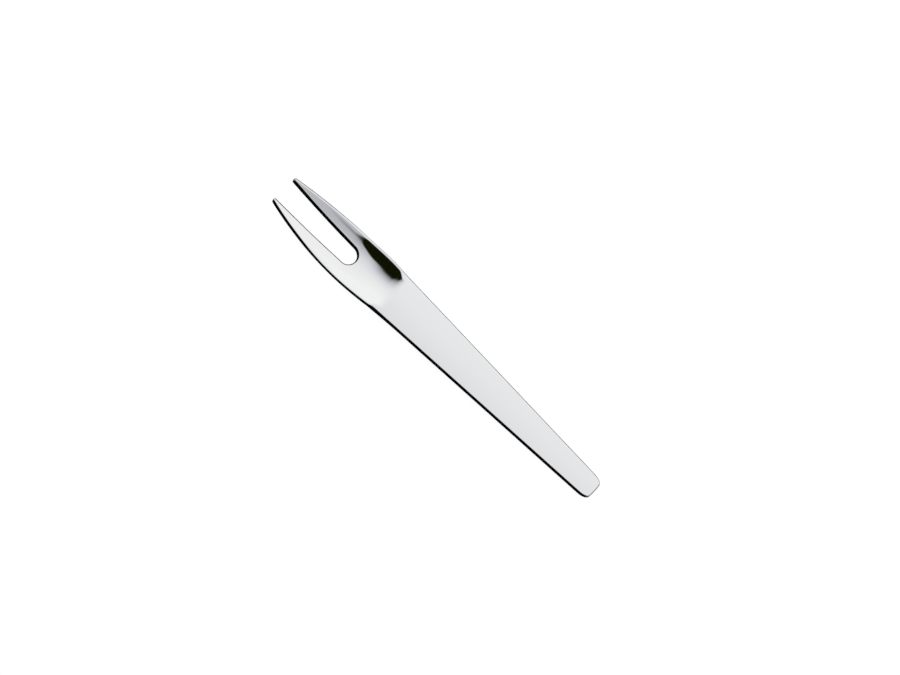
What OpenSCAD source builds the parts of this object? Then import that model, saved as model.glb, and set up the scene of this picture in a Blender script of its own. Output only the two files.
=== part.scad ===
// Appetizer fork, forged in one piece from stainless steel.
// The handle is a flat bar that tapers to its free end. At the shoulder its top
// falls into a shallow scoop with steeper banks, and a U-shaped slot parts the
// scoop into two pointed tines that rise toward their tips.
// X runs from the tips to the handle's end, Y across the fork and Z upward.
// The fork lies as it rests on a table, on its belly and on the handle's end.

/* [Handle] */
// Length of the whole fork, from the tips to the handle's end
fork_len = 150; // [135:1:180]
// Width of the handle at its free end
end_w = 8.9; // [7:0.1:12]
// Width of the handle at the shoulder
shoulder_w = 17.9; // [15:0.1:19]
// Thickness of the flat part of the handle
handle_t = 1.8; // [1.4:0.1:2.6]
// How much thicker the middle of the bar is at the shoulder
shoulder_extra_t = 1.4; // [0.6:0.1:2]
// How much thicker the sides of the bar are at the shoulder
shoulder_side_t = 0.75; // [0.2:0.05:1.4]
// Length of the underside that swells from the flat handle to the shoulder
flare_len = 14; // [8:1:20]
// Length of each rounded corner at the free end, along the handle
end_corner_len = 3.4; // [2:0.1:6]
// Width of each rounded corner at the free end, across the handle
end_corner_w = 1.7; // [1.2:0.1:2.6]
// How far the middle of the free end bulges past its corners
end_bow = 0.4; // [0:0.1:0.8]
// How far the top of the handle falls from its middle to its edges at the shoulder
handle_crown = 0.1; // [0:0.02:0.3]
// Rounding of the long edges of the handle
handle_edge_r = 0.5; // [0.3:0.01:0.6]

/* [Scoop] */
// Length of the head, from the tips to the shoulder
head_len = 50; // [46:1:58]
// Greatest width of the head
head_w = 19.55; // [19.2:0.05:23]
// Place of that width, as a share of the head's length from the tips
widest_share = 0.67; // [0.55:0.01:0.75]
// Distance behind the shoulder at which the scoop begins
scoop_lead = 3.6; // [2:0.1:6]
// Length over which the scoop's hollow comes in
scoop_start = 4.2; // [3:0.1:6]
// Steepest slope across the hollow at the neck, in degrees
neck_slope = 11.4; // [6:0.2:14]
// Distance from the middle line at which the neck reaches that slope
neck_slope_at = 6.8; // [5:0.1:7]
// Steepest slope across each tine, in degrees
tine_slope = 4.8; // [2:0.2:8]
// Distance from the middle line at which a tine reaches that slope
tine_slope_at = 5.4; // [4:0.1:6]
// Slope added by the bank on each side of the slot's end, in degrees
bank_slope = 6; // [0:0.5:10]
// Distance from the middle line at which that bank begins
bank_at = 4.7; // [3.5:0.1:5.5]
// Slope added by the fold that runs on from the bank along each tine, in degrees
fold_slope = 1.9; // [0:0.1:4]
// Distance of that fold from the middle line
fold_at = 6.3; // [5.5:0.1:6.5]
// Width of that fold
fold_w = 1.1; // [0.8:0.1:1.4]
// Width of the rims beside the scoop
rim_band = 1.1; // [0.8:0.1:1.6]
// Width of the flat margin beside the scoop where it begins
shoulder_band = 2.5; // [1.8:0.1:3.5]
// Step of the rims below the top of the handle, next to the shoulder
rim_step = 0.3; // [0:0.05:0.8]
// Length of that step along the rim
rim_step_len = 2.2; // [1.4:0.2:4]
// Depth of the rims below the top of the handle, beside the slot's end
rim_drop = 2.1; // [1.4:0.1:2.8]
// Depth to which the rims go on down along the tines, before the tips rise
tine_drop = 2.15; // [1.4:0.05:2.8]
// Thickness of the metal in the middle of the scoop and along the slot
scoop_t = 1.55; // [1.45:0.05:2.4]
// Thickness of the rims at the neck
neck_rim_t = 1.85; // [1.4:0.05:2.2]
// Thickness of the rims along the tines
tine_rim_t = 1.55; // [1.45:0.05:1.8]
// Rounding of the rims
rim_edge_r = 0.3; // [0.15:0.01:0.5]

/* [Tines] */
// Length of the neck, from the slot's round end to the shoulder
neck_len = 14.9; // [11:0.1:20]
// Width of the slot at the tips
slot_tip_w = 9; // [8:0.1:11]
// Width of the slot where its round end begins
slot_end_w = 6.9; // [6:0.1:9]
// Width of each tine at its tip
tip_w = 1.55; // [1.5:0.05:2]
// Thickness of each tine at its tip
tip_t = 2; // [1.5:0.05:2.3]
// Height by which the tips rise again
tip_rise = 1.8; // [0.6:0.1:3]
// Length of the tines over which they rise
rise_len = 24.5; // [18:0.5:30]
// Length of the rounded nose of each tine
nose_len = 0.55; // [0.4:0.05:1]
// Rounding of the edges along the slot
slot_edge_r = 0.6; // [0.15:0.05:0.65]
// Rounding of the edges of the tines at their tips
tip_edge_r = 0.7; // [0.3:0.05:0.7]

/* [Rest] */
// Depth of the small flats on which the fork rests
rest_flat = 0.03; // [0.01:0.01:0.06]

/* [Hidden] */

// Points across the top of one half, from the middle or the slot to the rim
ACROSS = 12;
// Steps of those that lie on the band beside the scoop
BAND_STEPS = 3;
// Share of the way across within which the scoop's upper edge is sought
CREST_FROM = 0.5;
CREST_TO = 0.85;
// Steps round each quarter of a rounded edge
EDGE_STEPS = 3;
// Sections along the flat handle, the flare, the neck and the tines
HANDLE_SECTIONS = 8;
FLARE_SECTIONS = 6;
NECK_SECTIONS = 20;
TINE_SECTIONS = 18;
// Turn between two sections round the slot's end, a corner or a nose, in degrees
SLOT_TURN = 9;
CORNER_TURN = 12;
NOSE_TURN = 16;
// How the neck's sections crowd toward the shoulder
NECK_SPACING = 1.2;
// Shape of the tines' and the neck's outline, the tines' rise and the belly
SIDE_POWER = 2.08;
NECK_POWER = 3;
RISE_POWER = 1.7;
BELLY_POWER = 2.5;
// Distance behind the shoulder at which the step of the rims begins
STEP_LEAD = 0.5;
// Widths over which the scoop's slopes end and the bank's slope begins
CREST_FADE = 0.5;
BANK_FADE = 1.2;
// Lengths from which and over which the tines' hollows join into one
JOIN_LEAD = 4;
JOIN_LEN = 6;
// Lengths over which the bank grows and then spreads inward
BANK_START = 2.4;
BANK_SPREAD = 8;
// Distance from the tips at which the fold begins
FOLD_START = 8;
// Where the neck's own slope comes in, behind the slot and as a share of the neck
NECK_LEAD = 2;
NECK_SHARE = 0.6;
// Share of a tine's slope that ends at its rim
TINE_CREST = 0.6;
// Lengths from which and over which the margin widens at the shoulder
BAND_LEAD = 1.7;
BAND_LEN = 3.2;
// Distance from the tips at which their rounding starts to sharpen, and its length
ROUND_START = 12;
ROUND_LEN = 18;
// Length near the tips over which the thickness and the slot's rounding change
TIP_ZONE = 10;
// Length of the handle that takes part in the bow of its end
BOW_ZONE = 12;
// Distance behind the slot's end where the belly begins to thicken
BELLY_LEAD = 1;
// Step between the places at which the belly is tried against the table
REST_STEP = 0.5;

widest_at = head_len * widest_share;
slot_len = head_len - neck_len;
slot_r = slot_end_w / 2;
slot_centre = slot_len - slot_r;
slot_apex = slot_len + slot_edge_r;
flare_at = head_len + flare_len;
corner_at = fork_len - end_corner_len;
belly_end = slot_len + BELLY_LEAD;
scoop_at = head_len + scoop_lead;
step_at = head_len + STEP_LEAD;

function mix(a, b, t) = a + (b - a) * t;
function clip(t) = min(max(t, 0), 1);
function smooth(t) = pow(clip(t), 2) * (3 - 2 * clip(t));

// Outline of one half, seen from above, at a distance x from the tips

function taper_half(x) = mix(shoulder_w, end_w, (x - head_len) / (fork_len - head_len)) / 2;

// Height of a quarter of an ellipse, at a distance from its middle
function arc(distance, length, height) =
    distance > length ? 0 : height * sqrt(1 - pow(max(distance, 0) / length, 2));

function corner_cut(x) = end_corner_w - arc(x - corner_at, end_corner_len, end_corner_w);

function head_half(x) =
    let (tip_half = slot_tip_w / 2 + tip_w)
    x < widest_at
        ? head_w / 2 - (head_w / 2 - tip_half) * pow(1 - x / widest_at, SIDE_POWER)
        : head_w / 2 - (head_w - shoulder_w) / 2
            * pow((x - widest_at) / (head_len - widest_at), NECK_POWER);

function slot_half(x) = mix(slot_tip_w, slot_end_w, x / slot_centre) / 2;

// Share of the full section that is left inside the rounded nose of a tine
function nose(x) = x > nose_len ? 1 : sqrt(1 - pow(1 - x / nose_len, 2));

function tine_middle(x) = (head_half(x) + slot_half(x)) / 2;
function tine_side(x) = (head_half(x) - slot_half(x)) / 2 * nose(x);

function outer_half(x) =
    x > head_len ? taper_half(x) - corner_cut(x)
    : x < slot_centre ? tine_middle(x) + tine_side(x)
    : head_half(x);

function inner_half(x) = tine_middle(x) - tine_side(x);

// Heights, measured from the top of the handle

function tine_rise(x) = tip_rise * pow(clip(1 - x / rise_len), RISE_POWER);

function rim_z(x) =
    let (
        step = rim_step * smooth((step_at - x) / rim_step_len),
        slope = (rim_drop - rim_step) * smooth((head_len - x) / (head_len - slot_centre))
    )
    tine_rise(x) - (x > slot_centre ? step + slope : mix(tine_drop, rim_drop, x / slot_centre));

// Height gained at a distance d past the start of a slope that grows over a width w
function ramp(d, w) = pow(clip(d / w), 2) * w / 2 + max(d - w, 0);

function full_half(x) = x > head_len ? taper_half(x) : head_half(x);

// Distance of the scoop's upper edge from the middle line
function crest_y(x) =
    full_half(x) - mix(rim_band, shoulder_band, smooth((x - head_len + BAND_LEAD) / BAND_LEN));

// Shares from 0 to 1 by which the scoop has started, the neck has taken on its
// own slope and the hollows of the tines have joined
function started(x) = smooth((scoop_at - x) / scoop_start);
function at_neck(x) = smooth((x - slot_len - NECK_LEAD) / (NECK_SHARE * neck_len));
function joined(x) = smooth((x - slot_centre + JOIN_LEAD) / JOIN_LEN);

// Rise of the smooth hollow from the middle line to a distance y
function hollow(x, y) =
    let (
        end = mix(tine_slope_at, neck_slope_at, joined(x)),
        per_mm = mix(tan(tine_slope) / tine_slope_at, tan(neck_slope) / neck_slope_at, at_neck(x)),
        kept = mix(TINE_CREST, 1, joined(x))
    )
    per_mm * end * (ramp(y, end) - kept * ramp(y - crest_y(x), CREST_FADE));

// Rise of the steeper bank on the outer side of the hollow
function bank(x, y) =
    let (
        fold = tan(fold_slope) * clip((x - FOLD_START) / (slot_centre - FOLD_START)),
        slope = mix(fold, tan(bank_slope), smooth((x - slot_centre) / BANK_START)) * (1 - at_neck(x)),
        start = mix(fold_at, bank_at, smooth((x - slot_centre) / BANK_SPREAD)),
        end = mix(fold_at + fold_w, crest_y(x), joined(x))
    )
    slope * (ramp(y - start, BANK_FADE) - ramp(y - end, CREST_FADE));

function dish(x, y) = started(x) * (hollow(x, y) + bank(x, y));

function floor_z(x) = rim_z(x) - dish(x, full_half(x));

function top_z(x, y) =
    let (crown = handle_crown * pow(2 * y / shoulder_w, 2) * (1 - started(x)))
    floor_z(x) + dish(x, y) - crown;

function belly_z(x) =
    let (
        swell = shoulder_extra_t * 2,
        rise = smooth((flare_at - x) / (2 * flare_len)),
        keel = mix(tip_t, scoop_t, clip(x / TIP_ZONE))
    )
    x > head_len ? -handle_t - swell * rise
    : mix(floor_z(x) - keel, -handle_t - swell / 2, smooth((x - belly_end) / (head_len - belly_end)));

function rim_t(x) =
    mix(tine_rim_t, neck_rim_t, smooth((x - slot_centre) / (head_len - slot_centre)));

function side_z(x) =
    let (bar = -handle_t - shoulder_side_t * 2 * smooth((flare_at - x) / (2 * flare_len)))
    mix(bar, rim_z(x) - rim_t(x), smooth((step_at - x) / rim_step_len));

function bottom_z(x, y) =
    mix(belly_z(x), side_z(x), pow(clip(abs(y) / outer_half(x)), BELLY_POWER));

// Rounding of the edges

function outer_r(x) =
    let (head = mix(tip_edge_r, rim_edge_r, smooth((x - ROUND_START) / ROUND_LEN)) * nose(x))
    mix(head, handle_edge_r, smooth((x - head_len + BAND_LEAD) / rim_step_len));

function inner_r(x) = mix(tip_edge_r, slot_edge_r, clip(x / TIP_ZONE)) * nose(x);

// Width that the rounded edge takes where the outline turns round a corner
function edge_width(x) =
    x < corner_at ? outer_r(x)
    : arc(x - corner_at, end_corner_len, end_corner_w)
        - arc(x - corner_at, end_corner_len - handle_edge_r, end_corner_w - handle_edge_r);

// Loss of height at the top and the bottom edge of the free end
function end_loss(x) =
    let (inside = handle_edge_r - (fork_len - x))
    inside > 0 ? handle_edge_r - sqrt(pow(handle_edge_r, 2) - pow(inside, 2)) : 0;

// Sections. Each holds the point of the middle line or of the slot's outline
// where it starts, the direction from there into the metal, and the distance
// from the tips at which it meets the outer outline.

end_sections = [
    for (a = [CORNER_TURN / 2 : CORNER_TURN : 90 - CORNER_TURN / 2])
        let (x = fork_len - end_corner_len * (1 - cos(a)))
        [x, 0, 0, 0, x]
];

handle_sections = [
    for (i = [0 : HANDLE_SECTIONS - 1])
        let (x = mix(corner_at, flare_at, i / HANDLE_SECTIONS))
        [x, 0, 0, 0, x]
];

flare_sections = [
    for (i = [0 : FLARE_SECTIONS - 1])
        let (x = mix(flare_at, scoop_at, i / FLARE_SECTIONS))
        [x, 0, 0, 0, x]
];

neck_sections = [
    for (i = [0 : NECK_SECTIONS - 1])
        let (x = mix(scoop_at, slot_apex, pow(i / NECK_SECTIONS, NECK_SPACING)))
        [x, 0, 0, 0, x]
];

slot_sections = [
    for (a = [0 : SLOT_TURN : 90])
        [slot_centre + slot_r * cos(a), slot_r * sin(a), cos(a), sin(a),
            mix(slot_apex, slot_centre, a / 90)]
];

tine_sections = [
    for (i = [1 : TINE_SECTIONS])
        let (x = mix(slot_centre, nose_len, i / TINE_SECTIONS))
        [x, inner_half(x), 0, 1, x]
];

nose_sections = [
    for (a = [90 - NOSE_TURN : -NOSE_TURN : NOSE_TURN])
        let (x = nose_len * (1 - cos(a)))
        [x, inner_half(x), 0, 1, x]
];

sections = concat(end_sections, handle_sections, flare_sections, neck_sections,
    slot_sections, tine_sections, nose_sections);

SECTION_COUNT = len(sections);
FIRST_SLOT = SECTION_COUNT - len(slot_sections) - len(tine_sections) - len(nose_sections);

// Points of one half of a section: along the top to the rim, round the rim, back
// along the underside, and up the wall of the slot

EDGE_POINTS = 2 * EDGE_STEPS;
LAST_BOTTOM = 2 * ACROSS + EDGE_POINTS - 1;
RING = 2 * ACROSS + 2 * EDGE_POINTS;

// Turns of the points on a rounded edge, from its flat side to the wall
edge_turns = [for (k = [1 : EDGE_STEPS]) 90 * k / EDGE_STEPS];

function bow(x, y) =
    end_bow * smooth(1 - (fork_len - x) / BOW_ZONE) * pow(2 * y / end_w, 2);

// Shares of the way across a section, with a point on the scoop's upper edge
function shares(from, to) =
    let (
        crest = clip((crest_y(to[0]) - from[1]) / (to[1] - from[1])),
        edge = min(max(crest, CREST_FROM), CREST_TO),
        inner = ACROSS - 1 - BAND_STEPS
    )
    [for (j = [0 : ACROSS - 1])
        j < inner ? edge * j / inner : mix(edge, 1, (j - inner) / BAND_STEPS)];

function half_ring(s) =
    let (
        wall = [s[0], s[1]],
        into = [s[2], s[3]],
        outer_x = s[4],
        outer_y = outer_half(outer_x),
        ri = inner_r(s[0]),
        ro = edge_width(outer_x),
        from = wall + into * ri,
        to = [outer_x, outer_y - ro],
        loss = end_loss(outer_x),
        g = nose(outer_x),
        path = [for (share = shares(from, to)) mix(from, to, share)],
        tops = [for (p = path) top_z(p[0], p[1])],
        bottoms = [for (p = path) bottom_z(p[0], p[1])],
        ups = [for (j = [0 : ACROSS - 1])
            mix((tops[j] + bottoms[j]) / 2, tops[j], g) - loss],
        downs = [for (j = [0 : ACROSS - 1])
            mix((tops[j] + bottoms[j]) / 2, bottoms[j], g) + loss],
        rim_r = outer_r(outer_x) - loss,
        rim_top = ups[ACROSS - 1],
        rim_bottom = downs[ACROSS - 1]
    )
    concat(
        [for (j = [0 : ACROSS - 1])
            [path[j][0], path[j][1], ups[j]]],
        [for (a = edge_turns)
            [outer_x, outer_y - ro * (1 - sin(a)), rim_top - rim_r * (1 - cos(a))]],
        [for (k = [EDGE_STEPS - 1 : -1 : 0])
            [outer_x, outer_y - ro * (1 - sin(edge_turns[k])),
                rim_bottom + rim_r * (1 - cos(edge_turns[k]))]],
        [for (j = [ACROSS - 1 : -1 : 0])
            [path[j][0], path[j][1], downs[j]]],
        [for (a = edge_turns)
            let (p = wall + into * ri * (1 - sin(a)))
            [p[0], p[1], downs[0] + ri * (1 - cos(a))]],
        [for (k = [EDGE_STEPS - 1 : -1 : 0])
            let (p = wall + into * ri * (1 - sin(edge_turns[k])))
            [p[0], p[1], ups[0] - ri * (1 - cos(edge_turns[k]))]]
    );

half_points = [for (s = sections) each half_ring(s)];

// Both halves: side 0 lies at positive Y and side 1 is its mirror image
fork_points = [
    for (side = [0, 1])
        for (p = half_points)
            [p[0] - bow(p[0], p[1]), (1 - 2 * side) * p[1], p[2]]
];

// The halves share the points of the middle line, up to the slot's round end
function on_seam(i, k) = i <= FIRST_SLOT && (k == 0 || k >= LAST_BOTTOM);

function id(side, i, k) =
    (on_seam(i, k % RING) ? 0 : side) * SECTION_COUNT * RING + i * RING + k % RING;

// Each face is listed clockwise as seen from outside, so one side is turned round
function turned(side, face) = side == 1 ? face : [face[2], face[1], face[0]];

// Skin between each two sections, with the wall of the slot where there is one
skin_faces = [
    for (side = [0, 1])
        for (i = [0 : SECTION_COUNT - 2])
            for (k = [0 : RING - 1])
                if (k < LAST_BOTTOM || i >= FIRST_SLOT)
                    for (face = [
                        [id(side, i, k), id(side, i, k + 1), id(side, i + 1, k + 1)],
                        [id(side, i, k), id(side, i + 1, k + 1), id(side, i + 1, k)]
                    ])
                        turned(side, face)
];

// Free end of the handle, as strips from its top edge to its bottom edge
end_faces = [
    for (side = [0, 1])
        for (j = [0 : ACROSS + EDGE_STEPS - 2])
            for (face = [
                [id(side, 0, j), id(side, 0, LAST_BOTTOM - j), id(side, 0, LAST_BOTTOM - j - 1)],
                [id(side, 0, j), id(side, 0, LAST_BOTTOM - j - 1), id(side, 0, j + 1)]
            ])
                turned(side, face)
];

// Flat facet at the very tip of each tine
tip_faces = [
    for (side = [0, 1])
        let (last = SECTION_COUNT - 1, ring = [for (k = [0 : RING - 1]) id(side, last, k)])
        side == 1 ? ring : [for (k = [RING - 1 : -1 : 0]) ring[k]]
];

// Tilt at which the belly and the handle's end both touch the table
end_foot = fork_len - handle_edge_r;
rest_tilt = max([
    for (x = [slot_apex : REST_STEP : flare_at])
        atan((-belly_z(x) - handle_t) / (end_foot - x))
]);

// Place of the tilted fork, centred along X and just touching the table
tilted_x = [for (p = fork_points) p[0] * cos(rest_tilt) + p[2] * sin(rest_tilt)];
middle_x = (min(tilted_x) + max(tilted_x)) / 2;
lift = end_foot * sin(rest_tilt) + handle_t * cos(rest_tilt);

module forging() {
    polyhedron(points = fork_points, faces = concat(skin_faces, end_faces, tip_faces), convexity = 6);
}

module table() {
    translate([-fork_len, -head_w, -head_w])
        cube([2 * fork_len, 2 * head_w, head_w]);
}

module fork() {
    color("silver")
        difference() {
            translate([-middle_x, 0, lift - rest_flat])
                rotate([0, rest_tilt, 0])
                    forging();
            table();
        }
}

fork();
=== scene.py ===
"""An appetizer fork of mirror-polished steel, lying on a white table under a soft tent of light."""

import math

import bpy
import numpy as np
from mathutils import Matrix, Vector


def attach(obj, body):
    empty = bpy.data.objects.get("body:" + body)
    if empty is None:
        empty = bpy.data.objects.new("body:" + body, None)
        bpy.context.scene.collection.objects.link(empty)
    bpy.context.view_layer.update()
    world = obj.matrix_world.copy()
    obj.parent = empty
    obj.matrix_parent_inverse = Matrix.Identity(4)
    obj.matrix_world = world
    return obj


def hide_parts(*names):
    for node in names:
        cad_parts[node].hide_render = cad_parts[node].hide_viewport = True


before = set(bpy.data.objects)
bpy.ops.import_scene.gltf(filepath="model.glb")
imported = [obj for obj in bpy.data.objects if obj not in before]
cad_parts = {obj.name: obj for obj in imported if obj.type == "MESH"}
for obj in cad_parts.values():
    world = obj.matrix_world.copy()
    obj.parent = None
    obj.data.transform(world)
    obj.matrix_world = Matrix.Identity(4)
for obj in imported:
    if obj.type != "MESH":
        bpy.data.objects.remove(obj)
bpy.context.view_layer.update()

MM = 0.001

# Sizes of the fork in millimetres, as in the part's source

FORK_LEN = 150.0
END_W = 8.9
SHOULDER_W = 17.9
HANDLE_T = 1.8
SHOULDER_EXTRA_T = 1.4
SHOULDER_SIDE_T = 0.75
FLARE_LEN = 14.0
END_CORNER_LEN = 3.4
END_CORNER_W = 1.7
END_BOW = 0.4
HANDLE_EDGE_R = 0.5
HEAD_LEN = 50.0
HEAD_W = 19.55
WIDEST_SHARE = 0.67
SCOOP_LEAD = 3.6
SCOOP_START = 4.2
NECK_SLOPE = 11.4
NECK_SLOPE_AT = 6.8
TINE_SLOPE = 4.8
TINE_SLOPE_AT = 5.4
BANK_SLOPE = 6.0
BANK_AT = 4.7
FOLD_AT = 6.3
FOLD_W = 1.1
RIM_BAND = 1.1
RIM_STEP = 0.3
RIM_STEP_LEN = 2.2
RIM_DROP = 2.1
TINE_DROP = 2.15
SCOOP_T = 1.55
NECK_RIM_T = 1.85
TINE_RIM_T = 1.55
RIM_EDGE_R = 0.3
SHOULDER_BAND = 2.5
HANDLE_CROWN = 0.1
NECK_LEN = 14.9
SLOT_TIP_W = 9.0
SLOT_END_W = 6.9
TIP_W = 1.55
TIP_T = 2.0
TIP_RISE = 1.8
RISE_LEN = 24.5
NOSE_LEN = 0.55
SLOT_EDGE_R = 0.6
TIP_EDGE_R = 0.7
REST_FLAT = 0.03

# Powers of the curves, and where the blends start and how long they are, as in the source

SIDE_POWER = 2.08
NECK_POWER = 3.0
RISE_POWER = 1.7
BELLY_POWER = 2.5
STEP_LEAD = 0.5
CREST_FADE = 0.5
BANK_FADE = 1.2
JOIN_LEAD = 4.0
JOIN_LEN = 6.0
BANK_START = 2.4
BANK_SPREAD = 8.0
NECK_LEAD = 2.0
NECK_SHARE = 0.6
BAND_LEAD = 1.7
BAND_LEN = 3.2
ROUND_START = 12.0
ROUND_LEN = 18.0
TIP_ZONE = 10.0
BOW_ZONE = 12.0
BELLY_LEAD = 1.0

# The fold along each tine, and how much of the hollow's slope ends at a tine's crest. These
# differ from the source, by a few hundredths of a millimetre in height, for their reflections

FOLD_SLOPE = 2.0
FOLD_START = 12.0
FOLD_GROWTH = 17.0
TINE_CREST = 1.0

# Places that follow from the sizes

WIDEST_AT = HEAD_LEN * WIDEST_SHARE
SLOT_LEN = HEAD_LEN - NECK_LEN
SLOT_R = SLOT_END_W / 2
SLOT_CENTRE = SLOT_LEN - SLOT_R
SLOT_APEX = SLOT_LEN + SLOT_EDGE_R
FLARE_AT = HEAD_LEN + FLARE_LEN
CORNER_AT = FORK_LEN - END_CORNER_LEN
BELLY_END = SLOT_LEN + BELLY_LEAD
SCOOP_AT = HEAD_LEN + SCOOP_LEAD
STEP_AT = HEAD_LEN + STEP_LEAD

# How finely the visible surface is divided: points and sections of each stretch, the power
# that crowds the neck's sections, the turns in degrees of the first section at the handle's
# end and of the last at the tips, and the step at which the resting place is looked for

ACROSS = 33
EDGE_STEPS = 7
HANDLE_SECTIONS = 60
FLARE_SECTIONS = 28
NECK_SECTIONS = 80
SLOT_SECTIONS = 46
TINE_SECTIONS = 90
NOSE_SECTIONS = 14
CORNER_SECTIONS = 18
NECK_CROWDING = 1.2
FIRST_TURN = 6.0
LAST_TURN = 16.0
REST_STEP = 0.5


def mix(a, b, t):
    return a + (b - a) * t


def clip(t):
    return np.clip(t, 0.0, 1.0)


def smooth(t):
    c = clip(t)
    return c * c * (3 - 2 * c)


def tan(degrees):
    return math.tan(math.radians(degrees))


def arc(distance, length, height):
    return height * np.sqrt(clip(1 - (np.maximum(distance, 0) / length) ** 2))


# Outline of one half, seen from above, at a distance x from the tips


def taper_half(x):
    return mix(SHOULDER_W, END_W, (x - HEAD_LEN) / (FORK_LEN - HEAD_LEN)) / 2


def corner_cut(x):
    return END_CORNER_W - arc(x - CORNER_AT, END_CORNER_LEN, END_CORNER_W)


def head_half(x):
    tip_half = SLOT_TIP_W / 2 + TIP_W
    front = HEAD_W / 2 - (HEAD_W / 2 - tip_half) * np.maximum(1 - x / WIDEST_AT, 0) ** SIDE_POWER
    behind = np.maximum(x - WIDEST_AT, 0) / (HEAD_LEN - WIDEST_AT)
    back = HEAD_W / 2 - (HEAD_W - SHOULDER_W) / 2 * behind**NECK_POWER
    return np.where(x < WIDEST_AT, front, back)


def slot_half(x):
    return mix(SLOT_TIP_W, SLOT_END_W, x / SLOT_CENTRE) / 2


def nose(x):
    return np.sqrt(clip(1 - np.maximum(1 - x / NOSE_LEN, 0) ** 2))


def tine_middle(x):
    return (head_half(x) + slot_half(x)) / 2


def tine_side(x):
    return (head_half(x) - slot_half(x)) / 2 * nose(x)


def outer_half(x):
    tine = tine_middle(x) + tine_side(x)
    head = np.where(x < SLOT_CENTRE, tine, head_half(x))
    return np.where(x > HEAD_LEN, taper_half(x) - corner_cut(x), head)


def inner_half(x):
    return tine_middle(x) - tine_side(x)


# Heights, measured from the top of the handle


def tine_rise(x):
    return TIP_RISE * clip(1 - x / RISE_LEN) ** RISE_POWER


def ramp(d, w):
    """Height gained at a distance d past the start of a slope that grows over a width w."""
    inside = np.minimum(np.maximum(d, 0), w)
    return inside**2 / (2 * w) + np.maximum(d - w, 0)


def rim_z(x):
    step = RIM_STEP * smooth((STEP_AT - x) / RIM_STEP_LEN)
    slope = (RIM_DROP - RIM_STEP) * smooth((HEAD_LEN - x) / (HEAD_LEN - SLOT_CENTRE))
    tine = mix(TINE_DROP, RIM_DROP, x / SLOT_CENTRE)
    return tine_rise(x) - np.where(x > SLOT_CENTRE, step + slope, tine)


def full_half(x):
    return np.where(x > HEAD_LEN, taper_half(x), head_half(x))


def crest_y(x):
    """Distance of the scoop's upper edge from the middle line."""
    return full_half(x) - mix(RIM_BAND, SHOULDER_BAND, smooth((x - HEAD_LEN + BAND_LEAD) / BAND_LEN))


def started(x):
    return smooth((SCOOP_AT - x) / SCOOP_START)


def at_neck(x):
    return smooth((x - SLOT_LEN - NECK_LEAD) / (NECK_SHARE * NECK_LEN))


def joined(x):
    """0 on the tines and 1 where they have joined."""
    return smooth((x - SLOT_CENTRE + JOIN_LEAD) / JOIN_LEN)


def hollow(x, y):
    """Rise of the scoop's smooth hollow from the middle line to a distance y."""
    end = mix(TINE_SLOPE_AT, NECK_SLOPE_AT, joined(x))
    per_mm = mix(tan(TINE_SLOPE) / TINE_SLOPE_AT, tan(NECK_SLOPE) / NECK_SLOPE_AT, at_neck(x))
    kept = mix(TINE_CREST, 1, joined(x))
    return per_mm * end * (ramp(y, end) - kept * ramp(y - crest_y(x), CREST_FADE))


def bank(x, y):
    """Rise of the steeper bank that lies on the hollow's outer side."""
    fold = tan(FOLD_SLOPE) * smooth((x - FOLD_START) / FOLD_GROWTH)
    slope = mix(fold, tan(BANK_SLOPE), smooth((x - SLOT_CENTRE) / BANK_START)) * (1 - at_neck(x))
    start = mix(FOLD_AT, BANK_AT, smooth((x - SLOT_CENTRE) / BANK_SPREAD))
    end = mix(FOLD_AT + FOLD_W, crest_y(x), joined(x))
    return slope * (ramp(y - start, BANK_FADE) - ramp(y - end, CREST_FADE))


def dish(x, y):
    return started(x) * (hollow(x, y) + bank(x, y))


def floor_z(x):
    return rim_z(x) - dish(x, full_half(x))


def top_z(x, y):
    crown = HANDLE_CROWN * (2 * y / SHOULDER_W) ** 2 * (1 - started(x))
    return floor_z(x) + dish(x, np.abs(y)) - crown


def belly_z(x):
    swell = SHOULDER_EXTRA_T * 2
    rise = smooth((FLARE_AT - x) / (2 * FLARE_LEN))
    keel = mix(TIP_T, SCOOP_T, clip(x / TIP_ZONE))
    swollen = -HANDLE_T - swell / 2
    along = smooth((x - BELLY_END) / (HEAD_LEN - BELLY_END))
    return np.where(x > HEAD_LEN, -HANDLE_T - swell * rise, mix(floor_z(x) - keel, swollen, along))


def rim_t(x):
    return mix(TINE_RIM_T, NECK_RIM_T, smooth((x - SLOT_CENTRE) / (HEAD_LEN - SLOT_CENTRE)))


def side_z(x):
    bar = -HANDLE_T - SHOULDER_SIDE_T * 2 * smooth((FLARE_AT - x) / (2 * FLARE_LEN))
    return mix(bar, rim_z(x) - rim_t(x), smooth((STEP_AT - x) / RIM_STEP_LEN))


def bottom_z(x, y):
    return mix(belly_z(x), side_z(x), clip(np.abs(y) / outer_half(x)) ** BELLY_POWER)


# Rounding of the edges


def outer_r(x):
    head = mix(TIP_EDGE_R, RIM_EDGE_R, smooth((x - ROUND_START) / ROUND_LEN)) * nose(x)
    return mix(head, HANDLE_EDGE_R, smooth((x - HEAD_LEN + BAND_LEAD) / RIM_STEP_LEN))


def inner_r(x):
    return mix(TIP_EDGE_R, SLOT_EDGE_R, clip(x / TIP_ZONE)) * nose(x)


def edge_width(x):
    turn = arc(x - CORNER_AT, END_CORNER_LEN, END_CORNER_W) - arc(
        x - CORNER_AT, END_CORNER_LEN - HANDLE_EDGE_R, END_CORNER_W - HANDLE_EDGE_R
    )
    return np.where(x < CORNER_AT, outer_r(x), turn)


def end_loss(x):
    inside = np.maximum(HANDLE_EDGE_R - (FORK_LEN - x), 0)
    return HANDLE_EDGE_R - np.sqrt(HANDLE_EDGE_R**2 - inside**2)


def bow(x, y):
    return END_BOW * smooth(1 - (FORK_LEN - x) / BOW_ZONE) * (2 * y / END_W) ** 2


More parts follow.
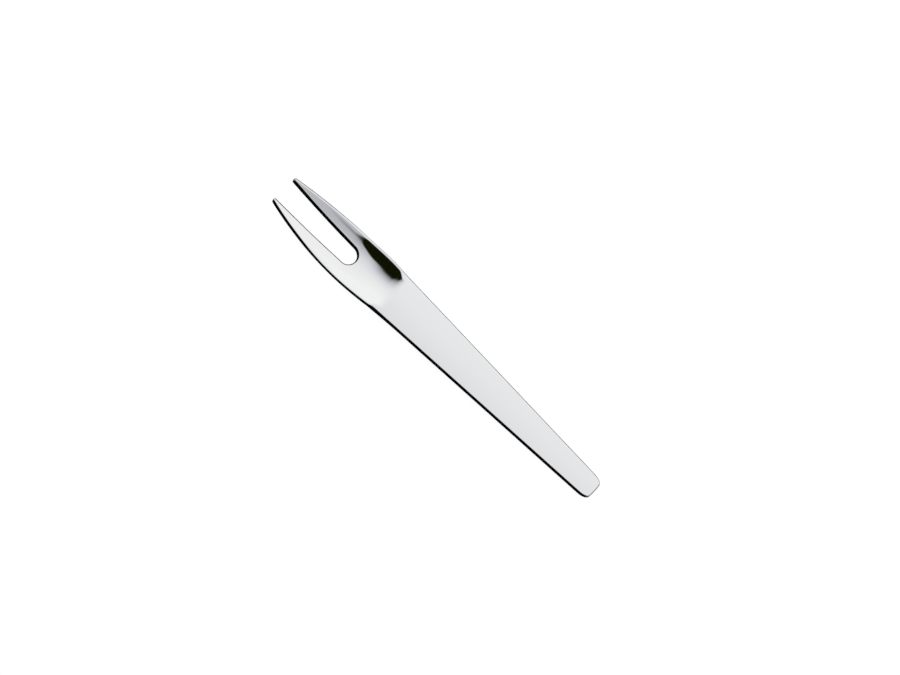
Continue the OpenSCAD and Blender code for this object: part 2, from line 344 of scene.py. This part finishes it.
# Sections, each with its start, the direction into the metal and its place on the outline


def straight(xs):
    return [[x, 0, 0, 0, x] for x in xs]


def sections():
    """All sections from the handle's end to the tips, and the number of the first at the slot."""
    quarter = math.pi / 2
    end_turns = np.linspace(math.radians(FIRST_TURN), quarter, CORNER_SECTIONS, endpoint=False)
    made = straight(FORK_LEN - END_CORNER_LEN * (1 - np.cos(end_turns)))
    made += straight(np.linspace(CORNER_AT, FLARE_AT, HANDLE_SECTIONS, endpoint=False))
    made += straight(np.linspace(FLARE_AT, SCOOP_AT, FLARE_SECTIONS, endpoint=False))
    along = (np.arange(NECK_SECTIONS) / NECK_SECTIONS) ** NECK_CROWDING
    made += straight(mix(SCOOP_AT, SLOT_APEX, along))
    first_slot = len(made)
    for turn in np.linspace(0, quarter, SLOT_SECTIONS):
        c, s = max(math.cos(turn), 0.0), math.sin(turn)
        outline_x = mix(SLOT_APEX, SLOT_CENTRE, turn / quarter)
        made.append([SLOT_CENTRE + SLOT_R * c, SLOT_R * s, c, s, outline_x])
    for x in np.linspace(SLOT_CENTRE, NOSE_LEN, TINE_SECTIONS + 1)[1:]:
        made.append([x, float(inner_half(x)), 0, 1, x])
    for turn in np.linspace(quarter, math.radians(LAST_TURN), NOSE_SECTIONS + 1)[1:]:
        x = NOSE_LEN * (1 - math.cos(turn))
        made.append([x, float(inner_half(x)), 0, 1, x])
    return np.array(made), first_slot


def half_rings(s):
    """Points of one half at every section: top, rim, underside and the slot's wall."""
    wall, into, outer_x = s[:, 0:2], s[:, 2:4], s[:, 4]
    outer_y = outer_half(outer_x)
    ri, ro = inner_r(s[:, 0]), edge_width(outer_x)
    start = wall + into * ri[:, None]
    end = np.stack([outer_x, outer_y - ro], 1)
    loss, thick = end_loss(outer_x), nose(outer_x)
    t = np.linspace(0, 1, ACROSS)[None, :, None]
    path = mix(start[:, None, :], end[:, None, :], t)
    tops = top_z(path[..., 0], path[..., 1])
    bottoms = bottom_z(path[..., 0], path[..., 1])
    middle = (tops + bottoms) / 2
    ups = mix(middle, tops, thick[:, None]) - loss[:, None]
    downs = mix(middle, bottoms, thick[:, None]) + loss[:, None]
    rim_r = (outer_r(outer_x) - loss)[:, None]
    turns = (np.arange(1, EDGE_STEPS + 1) / EDGE_STEPS * math.pi / 2)[None, :]
    back = turns[:, ::-1]

    def rim(angle, base, sign):
        y = outer_y[:, None] - ro[:, None] * (1 - np.sin(angle))
        z = base[:, None] - sign * rim_r * (1 - np.cos(angle))
        return np.stack([np.broadcast_to(outer_x[:, None], y.shape), y, z], 2)

    def inner(angle, base, sign):
        p = wall[:, None, :] + into[:, None, :] * (ri[:, None] * (1 - np.sin(angle)))[..., None]
        z = base[:, None] - sign * ri[:, None] * (1 - np.cos(angle))
        return np.concatenate([p, z[..., None]], 2)

    return np.concatenate(
        [
            np.concatenate([path, ups[..., None]], 2),
            rim(turns, ups[:, -1], 1),
            rim(back, downs[:, -1], -1),
            np.concatenate([path, downs[..., None]], 2)[:, ::-1],
            inner(turns, downs[:, 0], -1),
            inner(back, ups[:, 0], 1),
        ],
        1,
    )


def tilted(p):
    """Turns points so that the fork rests on its belly and on the handle's end."""
    end_foot = FORK_LEN - HANDLE_EDGE_R
    x = np.arange(SLOT_APEX, FLARE_AT, REST_STEP)
    tilt = np.arctan(((-belly_z(x) - HANDLE_T) / (end_foot - x)).max())
    c, s = math.cos(tilt), math.sin(tilt)
    px = p[:, 0] * c + p[:, 2] * s
    pz = -p[:, 0] * s + p[:, 2] * c + end_foot * s + HANDLE_T * c - REST_FLAT
    return np.stack([px, p[:, 1], pz], 1)


def at_rest(p):
    """Lays points of the fork on the table, where the fork is centred."""
    half = half_rings(sections()[0]).reshape(-1, 3)
    half[:, 0] -= bow(half[:, 0], half[:, 1])
    along = tilted(half)[:, 0]
    laid = tilted(p)
    laid[:, 0] -= (along.min() + along.max()) / 2
    laid[:, 2] = np.maximum(laid[:, 2], 0)
    return laid


def fork_mesh():
    """The fork's closed skin, smooth enough for a mirror finish."""
    s, first_slot = sections()
    half = half_rings(s)
    n, ring = half.shape[:2]
    last_bottom = 2 * ACROSS + 2 * EDGE_STEPS - 1
    flat = half.reshape(-1, 3).copy()
    flat[:, 0] -= bow(flat[:, 0], flat[:, 1])
    other = flat * [1, -1, 1]
    points = at_rest(np.concatenate([flat, other])) * MM

    def vid(side, i, k):
        """Number of a point, where the halves share those on the middle line."""
        k %= ring
        seam = i <= first_slot and (k == 0 or k >= last_bottom)
        return (0 if seam else side) * n * ring + i * ring + k

    faces = []
    for side in (0, 1):
        for i in range(n - 1):
            for k in range(ring):
                if k < last_bottom or i >= first_slot:
                    corners = ((i, k), (i, k + 1), (i + 1, k + 1), (i + 1, k))
                    face = [vid(side, *corner) for corner in corners]
                    faces.append(face if side == 0 else face[::-1])
        for j in range(ACROSS + EDGE_STEPS - 1):
            corners = (j, last_bottom - j, last_bottom - j - 1, j + 1)
            face = [vid(side, 0, k) for k in corners]
            faces.append(face if side == 0 else face[::-1])
        tip = [vid(side, n - 1, k) for k in range(ring)]
        faces.append(tip[::-1] if side == 1 else tip)
    mesh = bpy.data.meshes.new("fork_skin")
    mesh.from_pydata(points.tolist(), [], faces)
    mesh.validate()
    mesh.update()
    mesh.polygons.foreach_set("use_smooth", [True] * len(mesh.polygons))
    return mesh


# Shader nodes


def node_with(tree, kind, **settings):
    """A new node with some of its settings."""
    node = tree.nodes.new(kind)
    for name, value in settings.items():
        setattr(node, name, value)
    return node


def calculated(tree, operation, *sources):
    """What a math node makes of one or two outputs."""
    node = node_with(tree, "ShaderNodeMath", operation=operation)
    for socket, source in zip(node.inputs, sources):
        tree.links.new(source, socket)
    return node.outputs[0]


def grey(level):
    return (level, level, level, 1)


def new_material(name):
    mat = bpy.data.materials.new(name)
    mat.use_nodes = True
    return mat


# Steel: its colour, the size of the polishing marks, the least and most roughness, and the size
# and depth of the ripples

STEEL_COLOUR = (0.83, 0.833, 0.836, 1)
MARK_SCALE = (120, 2600, 2600)
MARK_DETAIL = 3.0
ROUGH_LEAST = 0.02
ROUGH_MOST = 0.04
RIPPLE_SCALE = 130.0
RIPPLE_DETAIL = 2.0
RIPPLE_DEPTH = 0.00001


def noise(tree, vector, scale, detail):
    node = tree.nodes.new("ShaderNodeTexNoise")
    node.inputs["Scale"].default_value = scale
    node.inputs["Detail"].default_value = detail
    tree.links.new(vector, node.inputs["Vector"])
    return node.outputs["Fac"]


def steel():
    """Mirror-polished stainless steel: fine polishing marks along it and the faintest of ripples."""
    mat = new_material("polished_steel")
    tree = mat.node_tree
    shader = tree.nodes["Principled BSDF"]
    shader.inputs["Base Color"].default_value = STEEL_COLOUR
    shader.inputs["Metallic"].default_value = 1.0
    place = tree.nodes.new("ShaderNodeTexCoord")
    stretch = tree.nodes.new("ShaderNodeMapping")
    stretch.inputs["Scale"].default_value = MARK_SCALE
    tree.links.new(place.outputs["Object"], stretch.inputs["Vector"])
    gloss = tree.nodes.new("ShaderNodeMapRange")
    gloss.inputs["To Min"].default_value = ROUGH_LEAST
    gloss.inputs["To Max"].default_value = ROUGH_MOST
    tree.links.new(noise(tree, stretch.outputs[0], 1.0, MARK_DETAIL), gloss.inputs["Value"])
    tree.links.new(gloss.outputs[0], shader.inputs["Roughness"])
    bump = tree.nodes.new("ShaderNodeBump")
    bump.inputs["Strength"].default_value = 1.0
    bump.inputs["Distance"].default_value = RIPPLE_DEPTH
    ripples = noise(tree, place.outputs["Object"], RIPPLE_SCALE, RIPPLE_DETAIL)
    tree.links.new(ripples, bump.inputs["Height"])
    tree.links.new(bump.outputs[0], shader.inputs["Normal"])
    return mat


def build_fork():
    fork = bpy.data.objects.new("fork_body", fork_mesh())
    bpy.context.scene.collection.objects.link(fork)
    fork.data.materials.append(steel())
    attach(fork, "root")
    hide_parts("fork")


# Stage pieces


def stage_piece(name, points, faces, material):
    mesh = bpy.data.meshes.new(name)
    mesh.from_pydata(points, [], faces)
    mesh.materials.append(material)
    obj = bpy.data.objects.new(name, mesh)
    bpy.context.scene.collection.objects.link(obj)
    return obj


def flat_piece(name, x_range, y_range, z, material):
    """A level rectangle."""
    (x0, x1), (y0, y1) = x_range, y_range
    corners = [(x0, y0, z), (x1, y0, z), (x1, y1, z), (x0, y1, z)]
    return stage_piece(name, corners, [[0, 1, 2, 3]], material)


def only_mirrored(obj):
    """Leaves the object to be seen in reflections alone."""
    obj.visible_camera = False
    obj.visible_diffuse = False
    obj.visible_shadow = False
    obj.visible_transmission = False


# Table: half its side in metres, its own colour and its glow

TABLE_HALF = 3.0
TABLE_DIFFUSE = 0.12
TABLE_GLOW = 0.93


def table_material():
    """White for the camera and for reflections, and it still takes the fork's soft shadow."""
    mat = new_material("white_table")
    tree = mat.node_tree
    tree.nodes.clear()
    out = tree.nodes.new("ShaderNodeOutputMaterial")
    diffuse = tree.nodes.new("ShaderNodeBsdfDiffuse")
    diffuse.inputs["Color"].default_value = grey(TABLE_DIFFUSE)
    glow = tree.nodes.new("ShaderNodeEmission")
    glow.inputs["Color"].default_value = grey(TABLE_GLOW)
    path = tree.nodes.new("ShaderNodeLightPath")
    seen = calculated(tree, "MAXIMUM", path.outputs["Is Camera Ray"], path.outputs["Is Glossy Ray"])
    seen = calculated(tree, "MAXIMUM", seen, path.outputs["Is Transmission Ray"])
    tree.links.new(seen, glow.inputs["Strength"])
    both = tree.nodes.new("ShaderNodeAddShader")
    tree.links.new(diffuse.outputs[0], both.inputs[0])
    tree.links.new(glow.outputs[0], both.inputs[1])
    tree.links.new(both.outputs[0], out.inputs["Surface"])
    return mat


def build_table():
    side = (-TABLE_HALF, TABLE_HALF)
    flat_piece("table_top", side, side, 0, table_material())


# Black card on the table, before the fork: its ends along X and along Y, and its height

CARD_X = (-1.0, 1.0)
CARD_Y = (-2.9, 0.035)
CARD_Z = 0.00002
BLACK = 0.004


def black_material():
    mat = new_material("black_card")
    shader = mat.node_tree.nodes["Principled BSDF"]
    shader.inputs["Base Color"].default_value = grey(BLACK)
    shader.inputs["Roughness"].default_value = 1.0
    shader.inputs["Specular IOR Level"].default_value = 0.0
    return mat


def build_card():
    """A black card under the fork that only its reflections show, as the dark edges need."""
    only_mirrored(flat_piece("black_card", CARD_X, CARD_Y, CARD_Z, black_material()))


# Light card over the handle: its ends along X and along Y, its height, its brightness and the
# share of its width over which that fades at either side

LIGHT_X = (-0.023, 0.092)
LIGHT_Y = (-0.013, 0.017)
LIGHT_Z = 0.1
LIGHT_LEVEL = 0.88
LIGHT_FADE = 0.12


def light_material():
    """Bright along the middle and fading toward both long sides."""
    mat = new_material("light_card")
    tree = mat.node_tree
    tree.nodes.clear()
    out = tree.nodes.new("ShaderNodeOutputMaterial")
    glow = tree.nodes.new("ShaderNodeEmission")
    place = tree.nodes.new("ShaderNodeTexCoord")
    split = tree.nodes.new("ShaderNodeSeparateXYZ")
    fade = tree.nodes.new("ShaderNodeValToRGB")
    fade.color_ramp.interpolation = "EASE"
    for end in fade.color_ramp.elements:
        end.color = grey(0)
    for position in (LIGHT_FADE, 1 - LIGHT_FADE):
        fade.color_ramp.elements.new(position).color = grey(LIGHT_LEVEL)
    tree.links.new(place.outputs["Generated"], split.inputs[0])
    tree.links.new(split.outputs["Y"], fade.inputs[0])
    tree.links.new(fade.outputs[0], glow.inputs["Color"])
    tree.links.new(glow.outputs[0], out.inputs["Surface"])
    return mat


def build_light_card():
    """A small bright card over the handle, which shows in it when it is seen from right above."""
    only_mirrored(flat_piece("light_card", LIGHT_X, LIGHT_Y, LIGHT_Z, light_material()))


# Black strips round the edges, in millimetres: their gap and height, how much farther inward
# their roofs reach than the dark part of each rounded edge, the share of a rounding's radius
# that this part takes, and the reach below and above the edge of those behind it

STRIP_GAP = 0.5
ROOF_HEIGHT = 0.5
HANDLE_ROOF = 0.25
HEAD_ROOF = 0.08
SLOT_ROOF = 0.3
DARK_SHARE = 0.86
BEHIND_BELOW = 0.15
FORK_ABOVE = 0.6
END_ABOVE = 0.6
SLOT_ABOVE = 0.9
STRIP_STEPS = 300
ARC_STEPS = 24


def strip(name, *rows):
    """A black strip through rows of points that follow one of the fork's edges."""
    n = len(rows[0][0])
    points = np.concatenate([at_rest(np.stack(row, 1)) for row in rows]) * MM
    faces = [
        [k * n + i, k * n + i + 1, (k + 1) * n + i + 1, (k + 1) * n + i]
        for k in range(len(rows) - 1)
        for i in range(n - 1)
    ]
    only_mirrored(stage_piece(name, points.tolist(), faces, black_material()))


def side_strips():
    """Strips along the fork's two long sides, of which the one before it has a roof."""
    x = np.linspace(0, FORK_LEN - STRIP_GAP, STRIP_STEPS)
    half = outer_half(x)
    z = top_z(x, half)
    more = mix(HEAD_ROOF, HANDLE_ROOF, smooth((x - HEAD_LEN + BAND_LEAD) / RIM_STEP_LEN))
    inner = np.maximum(half - outer_r(x) * DARK_SHARE - more, 0)
    outer = half + STRIP_GAP
    roof = z + ROOF_HEIGHT
    strip("strip_before_fork", (x, -outer, z - HEAD_W), (x, -outer, roof), (x, -inner, roof))
    strip("strip_behind_fork", (x, outer, z - BEHIND_BELOW), (x, outer, z + FORK_ABOVE))


def end_strip():
    y = np.linspace(-END_W, END_W, ARC_STEPS) / 2
    x = np.full(ARC_STEPS, FORK_LEN + STRIP_GAP)
    z = np.zeros(ARC_STEPS)
    strip("strip_past_end", (x, y, z - HANDLE_T), (x, y, z + END_ABOVE))


def slot_strips():
    """Strips along the slot: a roofed one before its far wall and one behind its near edge."""
    side_x = np.linspace(0, SLOT_CENTRE, STRIP_STEPS)
    turn = np.linspace(math.pi / 2, 0, ARC_STEPS)[1:]

    def line(outward):
        """The slot's outline, moved outward."""
        out = np.broadcast_to(outward, STRIP_STEPS + ARC_STEPS - 1)
        r = SLOT_R + out[STRIP_STEPS:]
        x = np.concatenate([side_x, SLOT_CENTRE + r * np.cos(turn)])
        y = np.concatenate([slot_half(side_x) + out[:STRIP_STEPS], r * np.sin(turn)])
        return x, y

    x, y = line(-STRIP_GAP)
    z = top_z(*line(0))
    reach = inner_r(x) * DARK_SHARE + SLOT_ROOF
    reach[STRIP_STEPS:] *= np.sin(turn)
    roof_x, roof_y = line(reach)
    roof = z + ROOF_HEIGHT
    strip("strip_before_slot_wall", (x, y, z - HEAD_W), (x, y, roof), (roof_x, roof_y, roof))
    strip("strip_behind_slot_edge", (x, -y, z - BEHIND_BELOW), (x, -y, z + SLOT_ABOVE))


def build_strips():
    """Strips that draw the fork's dark edges in its polish, as flags do in a studio."""
    side_strips()
    end_strip()
    slot_strips()


# Tent of light: its brightness at angles from straight before the fork (0), over its top (90)
# and to straight behind it (180), and the colour of its black band

TENT = [
    (0, 0.8),
    (82, 0.8),
    (87, 0),
    (96, 0),
    (97, 0.03),
    (98, 0.11),
    (99, 0.25),
    (100, 0.36),
    (102, 0.53),
    (104, 0.65),
    (106, 0.77),
    (108, 0.84),
    (112, 0.94),
    (118, 1.0),
    (126, 1.05),
    (138, 1.05),
    (180, 0.9),
]
TENT_BLACK = (0.0055, 0.0068, 0.0004, 1)
TENT_TINT = 0.05

# Where the tent is dark, at both far ends behind the fork, and where it is evenly bright, over
# and before the fork to its right and to its left. Each is a pair of limits, of the direction's X
# or of the same angle, from just outside to fully inside

END_X = (0.75, 0.9)
END_ANGLE = (101, 106)
END_LEVEL = 0.04
BRIGHT_RIGHT_X = (0.35, 0.5)
BRIGHT_LEFT_X = (-0.62, -0.7)
BRIGHT_ANGLE = (100, 94)
BRIGHT_LEVEL = 0.6


def tent_colour(level):
    """A grey that is faintly cool halfway to white, or the colour of the black band."""
    if level == 0:
        return TENT_BLACK
    cool = clip(4 * level * (1 - level)) * TENT_TINT
    return (level * (1 - cool / 2), level, level * (1 + cool), 1)


def tent_ramp(tree, share):
    """The tent's brightness by the share of the way from before the fork to behind it."""
    node = tree.nodes.new("ShaderNodeValToRGB")
    tree.links.new(share, node.inputs[0])
    elements = node.color_ramp.elements
    while len(elements) < len(TENT):
        elements.new(0.5)
    for element, (angle, _) in zip(elements, TENT):
        element.position = angle / 180
    for element, (_, level) in zip(elements, TENT):
        element.color = tent_colour(level)
    return node.outputs[0]


def inside(tree, source, limits):
    """0 at the first limit and 1 at the second, with a smooth change between them."""
    node = node_with(tree, "ShaderNodeMapRange", interpolation_type="SMOOTHSTEP")
    node.inputs["From Min"].default_value, node.inputs["From Max"].default_value = limits
    tree.links.new(source, node.inputs["Value"])
    return node.outputs[0]


def paint(tree, under, where, level):
    node = node_with(tree, "ShaderNodeMix", data_type="RGBA")
    tree.links.new(where, node.inputs["Factor"])
    tree.links.new(under, node.inputs["A"])
    node.inputs["B"].default_value = grey(level)
    return node.outputs["Result"]


def tent_light(tree):
    """The tent's colour by direction."""
    coord = tree.nodes.new("ShaderNodeTexCoord")
    split = tree.nodes.new("ShaderNodeSeparateXYZ")
    tree.links.new(coord.outputs["Generated"], split.inputs[0])
    x, y = split.outputs["X"], split.outputs["Y"]
    way = tree.nodes.new("ShaderNodeMapRange")
    way.inputs["From Min"].default_value = math.pi
    way.inputs["From Max"].default_value = 0
    tree.links.new(calculated(tree, "ARCCOSINE", y), way.inputs["Value"])
    share = way.outputs[0]
    light = tent_ramp(tree, share)
    far = inside(tree, calculated(tree, "ABSOLUTE", x), END_X)
    behind = inside(tree, share, [angle / 180 for angle in END_ANGLE])
    light = paint(tree, light, calculated(tree, "MULTIPLY", far, behind), END_LEVEL)
    before = inside(tree, share, [angle / 180 for angle in BRIGHT_ANGLE])
    for limits in (BRIGHT_RIGHT_X, BRIGHT_LEFT_X):
        where = calculated(tree, "MULTIPLY", inside(tree, x, limits), before)
        light = paint(tree, light, where, BRIGHT_LEVEL)
    return light


def build_world():
    """Plain white, and for the fork's reflections a tent of light with a black band over its top."""
    world = bpy.data.worlds.new("light_tent")
    bpy.context.scene.world = world
    world.use_nodes = True
    tree = world.node_tree
    tree.nodes.clear()
    out = tree.nodes.new("ShaderNodeOutputWorld")
    tent = tree.nodes.new("ShaderNodeBackground")
    tree.links.new(tent_light(tree), tent.inputs["Color"])
    plain = tree.nodes.new("ShaderNodeBackground")
    plain.inputs["Strength"].default_value = 1.0
    path = tree.nodes.new("ShaderNodeLightPath")
    choose = tree.nodes.new("ShaderNodeMixShader")
    tree.links.new(path.outputs["Is Glossy Ray"], choose.inputs[0])
    tree.links.new(plain.outputs[0], choose.inputs[1])
    tree.links.new(tent.outputs[0], choose.inputs[2])
    tree.links.new(choose.outputs[0], out.inputs["Surface"])


# Camera: its angles in degrees, its distance in metres, the scale of its picture, and where it
# aims, as millimetres to the right of and above the fork's middle, which lies at a height of
# FORK_MIDDLE_Z

LOOK_DOWN = 68.0
ROLL = 43.77
DISTANCE = 1.0
PIXELS_PER_MM = 2.888
IMAGE_WIDTH = 900
SENSOR = 36.0
AIM_RIGHT = 4.021
AIM_UP = 1.3
FORK_MIDDLE_Z = 1.5
NEAREST = 0.05
FARTHEST = 20.0


def build_camera():
    """A long lens, high above the near side, rolled so that the fork lies aslant in the picture."""
    data = bpy.data.cameras.new("studio_camera")
    cam = bpy.data.objects.new("studio_camera", data)
    bpy.context.scene.collection.objects.link(cam)
    bpy.context.scene.camera = cam
    data.sensor_width = SENSOR
    data.lens = DISTANCE / MM * PIXELS_PER_MM * SENSOR / IMAGE_WIDTH
    data.clip_start = NEAREST
    data.clip_end = FARTHEST
    down = math.radians(LOOK_DOWN)
    back = Vector((0, -math.cos(down), math.sin(down)))
    right = Vector((1, 0, 0))
    roll = Matrix.Rotation(math.radians(ROLL), 3, back)
    right, up = roll @ right, roll @ back.cross(right)
    cam.matrix_world = Matrix((right, up, back)).transposed().to_4x4()
    aim = Vector((0, 0, FORK_MIDDLE_Z)) + right * AIM_RIGHT + up * AIM_UP
    cam.location = aim * MM + back * DISTANCE


build_camera()
build_world()
build_table()
build_card()
build_light_card()
build_strips()
build_fork()
bpy.context.scene.view_settings.view_transform = "Standard"
